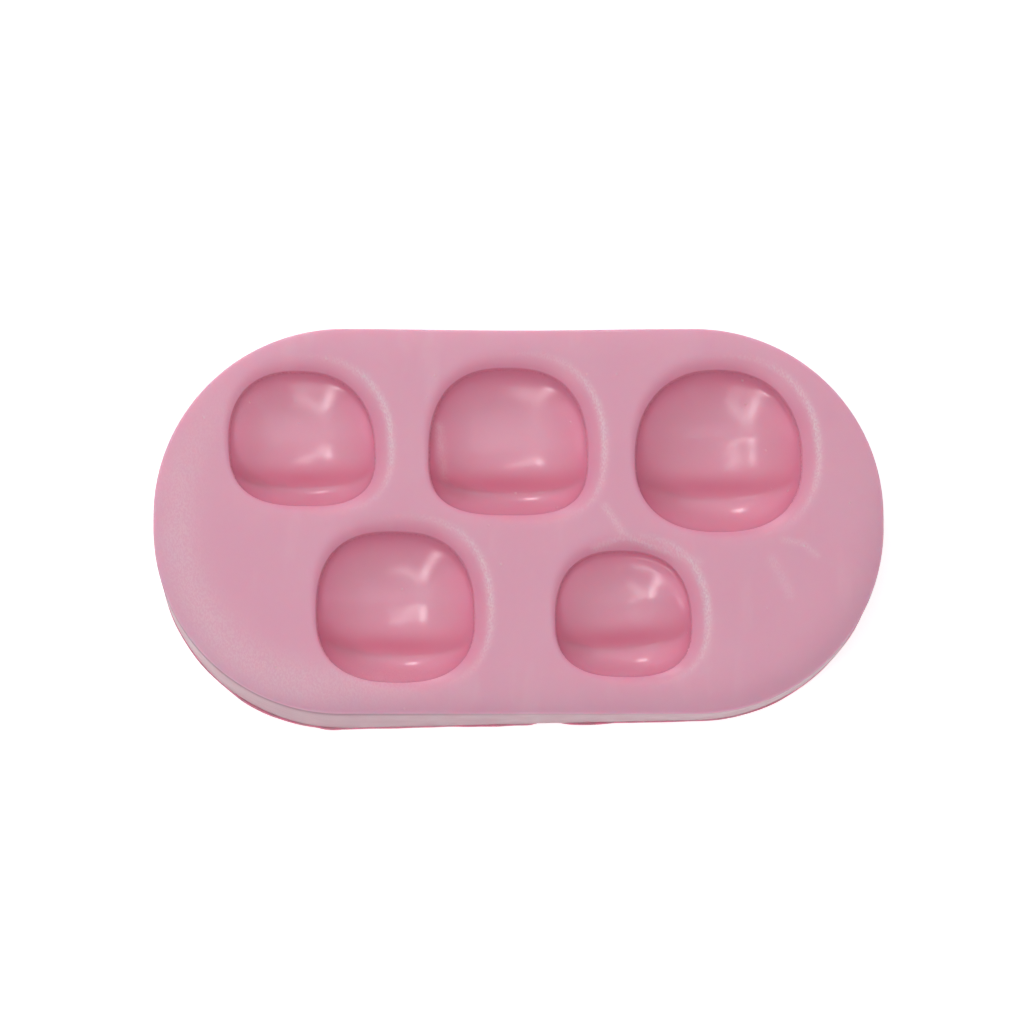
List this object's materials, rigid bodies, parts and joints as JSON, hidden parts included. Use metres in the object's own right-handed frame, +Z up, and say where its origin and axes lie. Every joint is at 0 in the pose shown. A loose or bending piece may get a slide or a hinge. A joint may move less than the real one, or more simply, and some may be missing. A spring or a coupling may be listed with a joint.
{
  "type": "silicone soap mould",
  "caption": "Flexible silicone slab with rounded ends and open pillow-shaped cavities, each with a cross ridge, for casting small soaps or resin pieces.",
  "frame": {"origin": "middle of the foot, at the bottom centre of the bounding box", "axes": "+X along the slab's length, from the end with the smallest margin beside the far row; +Y across the slab, from the row of two cavities to the row of three; +Z up, out of the cavities' mouths"},
  "size_m": [0.0902, 0.0494, 0.0112],
  "materials": {
    "face_silicone": "satin",
    "backing_silicone": "satin",
    "skin_silicone": "satin"
  },
  "bodies": {
    "root": {"face_coat": "face_silicone", "backing_slab": "backing_silicone", "base_skin": "skin_silicone"}
  },
  "joints": []
}
